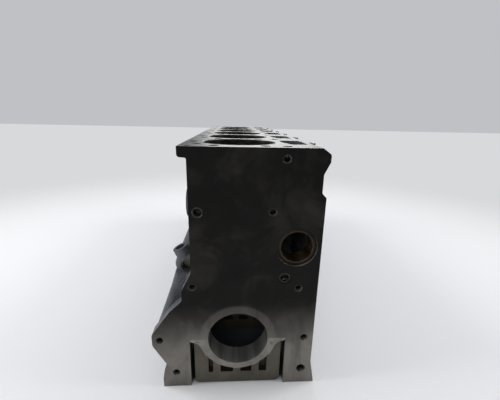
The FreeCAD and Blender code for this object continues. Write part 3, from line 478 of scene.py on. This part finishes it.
def shade_round(node):
    """At each corner: the sum of the normals, weighted by area, of the triangles there within the sharp angle. The
    corners are sorted by place, and each is compared with the next, the one after that, and so on while any match."""
    corners, normals = corners_of(node)
    area = np.linalg.norm(np.cross(corners[:, 1] - corners[:, 0], corners[:, 2] - corners[:, 0]), axis=1)
    key = np.round(corners.reshape(-1, 3) / SAME_SPOT).astype(np.int64) @ SPOT_KEYS
    order = np.argsort(key, kind="stable")
    key = key[order]
    face_normal = np.repeat(normals, 3, axis=0)[order]
    weighted = face_normal * np.repeat(area, 3)[order][:, None]
    total = weighted.copy()
    step = 1
    while True:
        same = key[step:] == key[:-step]
        if not same.any():
            break
        close = same & ((face_normal[step:] * face_normal[:-step]).sum(axis=1) > SHARP)
        total[step:] += weighted[:-step] * close[:, None]
        total[:-step] += weighted[step:] * close[:, None]
        step += 1
    total /= np.maximum(np.linalg.norm(total, axis=1, keepdims=True), 1e-20)
    smooth = np.empty_like(total)
    smooth[order] = total
    mesh = nodes[node].data
    mesh.polygons.foreach_set("use_smooth", np.ones(len(mesh.polygons), bool))
    mesh.normals_split_custom_set(smooth.tolist())


for name in nodes:
    shade_round(name)
print("shaded round:", len(nodes), "nodes")

# %% [markdown]
# ## Threads in the tapped holes
# The holes in the end walls, the deck and the sump rail are tapped. A tap cuts a helical groove, so its thread is a
# surface of two parameters: the angle round the hole and the turn along it. The radius goes up and down in a
# triangle wave once per pitch. The surface lies just inside the drilled hole, starts below the countersink and is
# made for all holes of one size in one go, by adding each hole's place to one set of points.

# %% Thread surfaces
THREAD_SIDES = 20
THREAD_STEPS = 4  # points for one pitch
THREAD_DEPTH = 0.35  # of the groove, as a share of the pitch
THREAD_GAP = 0.03 * MM  # between the drilled wall and the back of the thread
THREAD_BACK = 0.05 * MM  # thickness under the groove


def thread_grid(hole_r, pitch, turns):
    """Closed thread ring along +Z. Inside, r = wall - depth x pitch x triangle(z / pitch - angle / 2 pi), where the
    triangle wave runs from 0 to 1 and back once per pitch; outside it closes along the drilled wall."""
    angle = np.linspace(0, math.tau, THREAD_SIDES, endpoint=False)
    z = np.arange(turns * THREAD_STEPS + 1) * pitch / THREAD_STEPS
    phase = (z[:, None] / pitch - angle[None, :] / math.tau) % 1.0
    wall = hole_r - THREAD_GAP
    inside = wall - THREAD_BACK - THREAD_DEPTH * pitch * (1 - np.abs(2 * phase - 1))
    r = np.vstack([inside, np.full((2, THREAD_SIDES), wall)])
    z = np.append(z, [z[-1], z[0]])
    points = np.stack([r * np.cos(angle), r * np.sin(angle), np.broadcast_to(z[:, None], r.shape)], axis=2)
    rows, cols = np.meshgrid(np.arange(len(z)), np.arange(THREAD_SIDES), indexing="ij")
    below, ahead = (rows + 1) % len(z), (cols + 1) % THREAD_SIDES
    quads = np.stack([rows * THREAD_SIDES + cols, below * THREAD_SIDES + cols,
                      below * THREAD_SIDES + ahead, rows * THREAD_SIDES + ahead], axis=-1)
    return points.reshape(-1, 3), quads.reshape(-1, 4)


def mesh_piece(name, vertices, faces, material, smooth=True):
    """A new object at the origin from arrays of vertices and faces."""
    mesh = bpy.data.meshes.new(name)
    mesh.from_pydata(vertices.tolist(), [], faces.tolist())
    mesh.materials.append(material)
    mesh.polygons.foreach_set("use_smooth", np.full(len(mesh.polygons), smooth))
    mesh.update()
    piece = bpy.data.objects.new(name, mesh)
    bpy.context.scene.collection.objects.link(piece)
    return piece


def threads(name, mouths, inward, hole_r, pitch, turns):
    """One piece with a thread in each hole; inward is the way into the metal, and a frame is built on it."""
    points, quads = thread_grid(hole_r, pitch, turns)
    inward = np.array(inward, float)
    side = np.array([1.0, 0, 0])
    frame_of_hole = np.stack([side, np.cross(inward, side), inward])
    turned = points @ frame_of_hole
    mouths = np.asarray(mouths, float)
    everywhere = (mouths[:, None, :] + turned[None]).reshape(-1, 3)
    every_face = (np.arange(len(mouths))[:, None, None] * len(points) + quads[None]).reshape(-1, 4)
    piece = mesh_piece(name, everywhere, every_face, tapped_iron)
    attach(piece, "root")
    print(name, "holes:", len(mouths), "triangles:", 2 * len(every_face))


tapped_iron = bored("tapped_thread_iron", "#4a4945", "#66645e", 0.8, "Y", (0.30, 0.42))
print("points in a thread of six turns:", len(thread_grid(5 * MM, 1.75 * MM, 6)[0]))

# %% Threads at the ends, in the deck and in the rail
SINK = 1.3 * MM  # the thread starts below the countersink
RIM_W = 1.2 * MM  # a countersink is this much wider than its hole
WIDEST = 19 * MM  # of the end faces' countersinks
END_SIZES = (("m12", 5 * MM, 7 * MM), ("m16", 7 * MM, 9 * MM))  # name, and range of the countersink's radius


def pattern(prefix):
    """Every hole of the mounts whose names start with prefix: half a spacing to each side of the stated point."""
    spots = []
    for name, mount in mounts.items():
        if name.startswith(prefix) and mount["kind"] == "bolt_pattern":
            dims = mount["dims"]
            half_x, half_y = (dims.get(f"spacing_{axis}_mm", 0.0) * MM / 2 for axis in "xy")
            spots += [place(name) + (sx * half_x, sy * half_y, 0.0) for sx in (-1, 1) for sy in (-1, 1)]
    return np.unique(np.round(spots, 6), axis=0)


def round_rims(points, widest):
    """Centres and radii of small circles, from the corners on them: take a corner, gather all within one width of
    it, and the middle of that group and half its width are the circle's. The oil gallery's rim is wider than that
    and mixes with its neighbours: at the flywheel end its rest passes for an M16 hole, and at the timing end the M12
    hole beside it comes out 1.4 mm off."""
    found = []
    while len(points):
        near = np.linalg.norm(points - points[0], axis=1) < widest
        group = points[near]
        found.append((*(group.min(axis=0) + group.max(axis=0)) / 2, np.ptp(group[:, 0]) / 2))
        points = points[~near]
    return np.array(found)


corners, normals = corners_of("block_casting")
sunk = (np.abs(normals[:, 1]) > 0.5) & (np.abs(normals[:, 1]) < 0.97)
for y, inward in ((0.0, (0, 1, 0)), (LENGTH, (0, -1, 0))):
    rim = corners[sunk].reshape(-1, 3)
    rim = rim[np.abs(rim[:, 1] - y) < 0.02 * MM][:, [0, 2]]
    circles = round_rims(rim, WIDEST)
    end = "flywheel_end" if y == 0 else "timing_end"
    for size, low, high in END_SIZES:
        chosen = circles[(circles[:, 2] > low) & (circles[:, 2] < high)]
        mouths = np.stack([chosen[:, 0], np.full(len(chosen), y + inward[1] * SINK), chosen[:, 1]], axis=1)
        threads(f"{size}_threads_{end}", mouths, inward, chosen[0, 2] - RIM_W, 1.75 * MM, 6)
deck_holes = pattern("head_bolts")
deck_holes[:, 2] = DECK_Z - SINK
hole_r = mounts["head_bolts_1"]["dims"]["hole_r_mm"] * MM
threads("head_bolt_threads", deck_holes, (0, 0, -1), hole_r, 2.0 * MM, 12)
rail_holes = pattern("sump_bolts")
rail_holes[:, 2] = RAIL_Z + SINK
hole_r = mounts["sump_bolts_1"]["dims"]["hole_r_mm"] * MM
threads("sump_bolt_threads", rail_holes, (0, 0, 1), hole_r, 1.25 * MM, 8)

# %% [markdown]
# ## The moulding seam
# Where the two halves of the sand mould met, a thin line of iron squeezed out and was only knocked off, so a low
# ridge runs along both sides of the block. Rays shot at the casting from the side find the wall at each step along
# the seam, and a small half-round section is carried along those points.

# %% Seam along both sides
SEAM_W = 1.3 * MM
SEAM_H = 0.7 * MM
SEAM_STEPS = 420
SEAM_SIDES = 8  # points round its section
SEAM_END = 22 * MM  # it stops this far from the end faces
triangles = np.arange(len(corners) * 3).reshape(-1, 3)
casting_tree = BVHTree.FromPolygons(corners.reshape(-1, 3).tolist(), triangles.tolist())


def wall_x(side, y, z):
    """Where a level ray from far out on one side (-1 left, 1 right) meets the casting."""
    return casting_tree.ray_cast(Vector((side * 0.4, y, z)), Vector((-side, 0.0, 0.0)))[0].x


def moulding_seam(name, side, z):
    """Section point j: half a width times cos(a) up the wall and a height times sin(a) out of it, a from 0 to 2 pi.
    The lower half of the section is sunk in the wall, the height wavers along the seam, and nothing stands out past
    the casting's widest point."""
    ys = np.linspace(SEAM_END, LENGTH - SEAM_END, SEAM_STEPS)
    found = np.array([wall_x(side, y, z) for y in ys])
    even = np.convolve(np.pad(found, 2, mode="edge"), np.ones(5) / 5, mode="valid")
    path = np.where(np.abs(even - found) < 1 * MM, even, found)
    angle = np.linspace(0, math.tau, SEAM_SIDES, endpoint=False)
    waver = 1 + 0.35 * np.sin(ys * 190) * np.sin(ys * 71 + 1.3)
    x = path[:, None] + side * SEAM_H * waver[:, None] * np.sin(angle)
    x = np.clip(x, cad_box[0][0], cad_box[1][0])
    points = np.stack([x, np.broadcast_to(ys[:, None], x.shape),
                       np.broadcast_to(z + np.cos(angle) * SEAM_W / 2, x.shape)], axis=2)
    rows, cols = np.meshgrid(np.arange(len(ys) - 1), np.arange(SEAM_SIDES), indexing="ij")
    here, ahead = rows * SEAM_SIDES + cols, rows * SEAM_SIDES + (cols + 1) % SEAM_SIDES
    quads = np.stack([here, ahead, ahead + SEAM_SIDES, here + SEAM_SIDES], axis=-1)
    quads = quads.reshape(-1, 4) if side > 0 else quads.reshape(-1, 4)[:, ::-1]
    last = (len(ys) - 1) * SEAM_SIDES
    caps = np.array([[0, 3, 2, 1], [0, 5, 4, 3], [0, 7, 6, 5]])
    caps = np.vstack([caps, last + caps[:, ::-1]]) if side > 0 else np.vstack([caps[:, ::-1], last + caps])
    piece = mesh_piece(name, points.reshape(-1, 3), np.vstack([quads, caps]), block_skin)
    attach(piece, "root")
    print(name, "from x", round(path.min(), 4), "to", round(path.max(), 4))


moulding_seam("moulding_seam_left", -1, -13 * MM)
moulding_seam("moulding_seam_right", 1, 26 * MM)

# %% [markdown]
# ## The crankcase wall beside each crank throw
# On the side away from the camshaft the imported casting's wall runs out to nothing half-way up each bulge, because the
# crank throw's space reaches as far out as the wall does there. A real block is closed there; this wall is made
# 9 mm thick, a little less than the skirts. Each missing stretch is a surface of two parameters, along the block and
# up it: rays find the wall just above and just below, and straight lines between those points carry its outside
# across. The inside is the same surface moved in.

# %% Closing the wall
WALL_FOOT, WALL_TOP = 16 * MM, 64 * MM  # heights below and above the gap, where rays still find the outside
WALL_LAP = 9 * MM  # how far the new wall reaches past them
WALL_END = 8 * MM  # and how far it stops short of the webs' middles
WALL_T, WALL_RIM_T = 9 * MM, 2.5 * MM  # thickness half-way up, and at the top and foot
WALL_PROUD, WALL_SUNK = 0.4 * MM, 0.9 * MM  # past the casting's surface in the middle, and under it at the border
WALL_GRID = (64, 30)  # points along the block and up it


def ease(t):
    """Smooth step: 3 t squared - 2 t cubed, with t held between 0 and 1."""
    t = np.clip(t, 0, 1)
    return t * t * (3 - 2 * t)


def crankcase_wall(name, y0, y1):
    """Outside: x goes straight from the wall found at the foot to the one at the top, stands a little proud, and
    sinks into the casting at its border. Inside: the same moved in, thickest half-way up. The two share one grid of
    points, so the rim between them runs round the grid's border."""
    cols, rows = WALL_GRID
    heights = np.array([WALL_FOOT - WALL_LAP, WALL_FOOT, WALL_TOP, WALL_TOP + WALL_LAP])
    ys = np.linspace(y0, y1, cols)
    zs = np.linspace(heights[0], heights[-1], rows)
    found = np.array([[wall_x(-1, y, z) for y in ys] for z in heights])
    share = np.clip((zs[:, None] - heights[:-1]) / np.diff(heights), 0, 1)
    x = found[0] + share @ np.diff(found, axis=0)
    to_edge = np.minimum(zs - zs[0], zs[-1] - zs)
    to_border = np.minimum(to_edge[:, None], np.minimum(ys - y0, y1 - ys))
    outside = x + WALL_SUNK - (WALL_SUNK + WALL_PROUD) * ease(to_border / (5 * MM))
    inside = x + (WALL_RIM_T + (WALL_T - WALL_RIM_T) * ease(to_edge / (14 * MM)))[:, None]
    yy, zz = np.meshgrid(ys, zs)
    points = np.concatenate([np.stack([side, yy, zz], axis=2).reshape(-1, 3) for side in (outside, inside)])
    i, j = np.meshgrid(np.arange(rows - 1), np.arange(cols - 1), indexing="ij")
    a = i * cols + j
    face = np.stack([a, a + cols, a + cols + 1, a + 1], axis=-1).reshape(-1, 4)
    count = rows * cols
    loop = np.concatenate([np.arange(cols), cols * np.arange(2, rows + 1) - 1,
                           count - 2 - np.arange(cols - 1), cols * np.arange(rows - 2, 0, -1)])
    ahead = np.roll(loop, -1)
    rim = np.stack([loop, ahead, ahead + count, loop + count], axis=-1)
    piece = mesh_piece(name, points, np.vstack([face, face[:, ::-1] + count, rim]), block_skin)
    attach(piece, "root")
    print(name, "y", round(y0, 4), "to", round(y1, 4), "x", round(x.min(), 4), "to", round(x.max(), 4))


half_wall = PITCH / 2 - WALL_END
for k, y in enumerate(BORE_Y):
    crankcase_wall(f"crankcase_wall_{k + 1}", y - half_wall, y + half_wall)

# %% [markdown]
# ## Floor, light and camera
# A plain pale floor under the rail, four soft lamps and a plain room. The lamps are large and weak, as in a
# workshop with white walls, and the camera stands in front of the flywheel end, a little above the deck.

# %% Floor
REACH = 12.0  # of the floor from the origin, in metres
SHADE_HALF_W = 98 * MM  # half the width of the painted shade on the floor between the rails
SHADE_END = 6 * MM  # it stops this far from the end faces
SHADE_FADE = 10 * MM


def pale_floor():
    """Near the block a matt pale floor that takes its shadow, with painted shade on it between the block's rails, under
    the block; further off, the camera sees it plain and even."""
    material, tree = new_material("pale_floor")
    here = add(tree, "TexCoord").outputs["Object"]
    middle = add(tree, "Mapping", {"Vector": here, "Location": (0.0, float(-LENGTH / 2), 0.0)})
    away = add(tree, "VectorMath", {0: middle}, operation="LENGTH").outputs["Value"]
    far = add(tree, "MapRange", {"Value": away, "From Min": 0.45, "From Max": 1.8},
              interpolation_type="SMOOTHSTEP")
    seen = add(tree, "LightPath").outputs["Is Camera Ray"]
    plain = add(tree, "Math", {0: far, 1: seen}, operation="MULTIPLY")
    beside = add(tree, "VectorMath", {0: middle}, operation="ABSOLUTE")
    beside = add(tree, "SeparateXYZ", {0: beside}).outputs
    across = add(tree, "MapRange", {"Value": beside[0], "From Min": SHADE_HALF_W,
                                    "From Max": SHADE_HALF_W - SHADE_FADE})
    along = add(tree, "MapRange", {"Value": beside[1], "From Min": float(LENGTH / 2) - SHADE_END,
                                   "From Max": float(LENGTH / 2) - SHADE_END - SHADE_FADE})
    shade_under_block = add(tree, "Math", {0: across, 1: along}, operation="MULTIPLY")
    # painted shade: the floor between the rails, under the block, is painted dark
    colour = add(tree, "Mix", {"Factor": shade_under_block, "A": "#f7f7f8", "B": "#3d4547"}, data_type="RGBA")
    matt = add(tree, "BsdfPrincipled", {"Base Color": colour, "Roughness": 0.7})
    even = add(tree, "Emission", {"Color": "#d8d9db", "Strength": 1.0})
    shader = add(tree, "MixShader", {0: plain, 1: matt, 2: even})
    add(tree, "OutputMaterial", {"Surface": shader})
    corners = np.array([(-1, -1, 0), (1, -1, 0), (1, 1, 0), (-1, 1, 0)]) * REACH
    corners[:, 2] = RAIL_Z - 0.2 * MM
    mesh_piece("floor", corners, np.array([[0, 1, 2, 3]]), material, smooth=False)
    print("floor at z", round(corners[0, 2], 4))


pale_floor()

# %% Lamps and room
def soft_lamp(name, position, target, size, watts):
    """Square area lamp that faces its target."""
    data = bpy.data.lights.new(name, "AREA")
    data.size = size
    data.energy = watts
    lamp = bpy.data.objects.new(name, data)
    lamp.location = position
    lamp.rotation_euler = (Vector(target) - Vector(position)).to_track_quat("-Z", "Y").to_euler()
    bpy.context.scene.collection.objects.link(lamp)


middle = (0.0, LENGTH / 2, 0.1)
soft_lamp("left_window", (-2.2, LENGTH / 2, 1.6), middle, 1.6, 46.0)
soft_lamp("right_window", (2.2, LENGTH / 2, 1.6), middle, 1.6, 36.0)
soft_lamp("front_fill", (-0.5, -2.4, 1.5), middle, 1.4, 14.0)
soft_lamp("back_light", (0.4, 3.4, 1.7), middle, 1.6, 28.0)

world = bpy.data.worlds.new("room")
bpy.context.scene.world = world
world.use_nodes = True
tree = world.node_tree
tree.nodes.clear()
room = add(tree, "Background", {"Color": "#b9bcc2", "Strength": 0.55})
wall = add(tree, "Background", {"Color": "#bfc1c4", "Strength": 1.0})
seen = add(tree, "LightPath").outputs["Is Camera Ray"]
both = add(tree, "MixShader", {0: seen, 1: room, 2: wall})
add(tree, "OutputWorld", {"Surface": both})
bpy.context.scene.view_settings.view_transform = "Standard"
print("lamps:", 4, "view:", bpy.context.scene.view_settings.view_transform)

# %% Camera
def sharp_camera(position, yaw, pitch, roll, lens):
    """Camera turned by yaw about Z, then pitch about X, then roll about its own line of sight."""
    turn = Matrix.Rotation(math.radians(yaw), 3, "Z") @ Matrix.Rotation(math.radians(pitch), 3, "X")
    turn = turn @ Matrix.Rotation(math.radians(roll), 3, "Y") @ Matrix.Rotation(math.radians(90), 3, "X")
    data = bpy.data.cameras.new("camera")
    data.lens = lens
    data.sensor_width = 36.0
    data.clip_start = 0.02
    made = bpy.data.objects.new("camera", data)
    made.matrix_world = Matrix.Translation(position) @ turn.to_4x4()
    bpy.context.scene.collection.objects.link(made)
    bpy.context.scene.camera = made
    print("camera:", [round(v, 3) for v in made.location], "lens:", lens)


sharp_camera(Vector((-0.0102, -0.3991, 0.3618)), -3.65, -16.18, -1.26, 20.53)
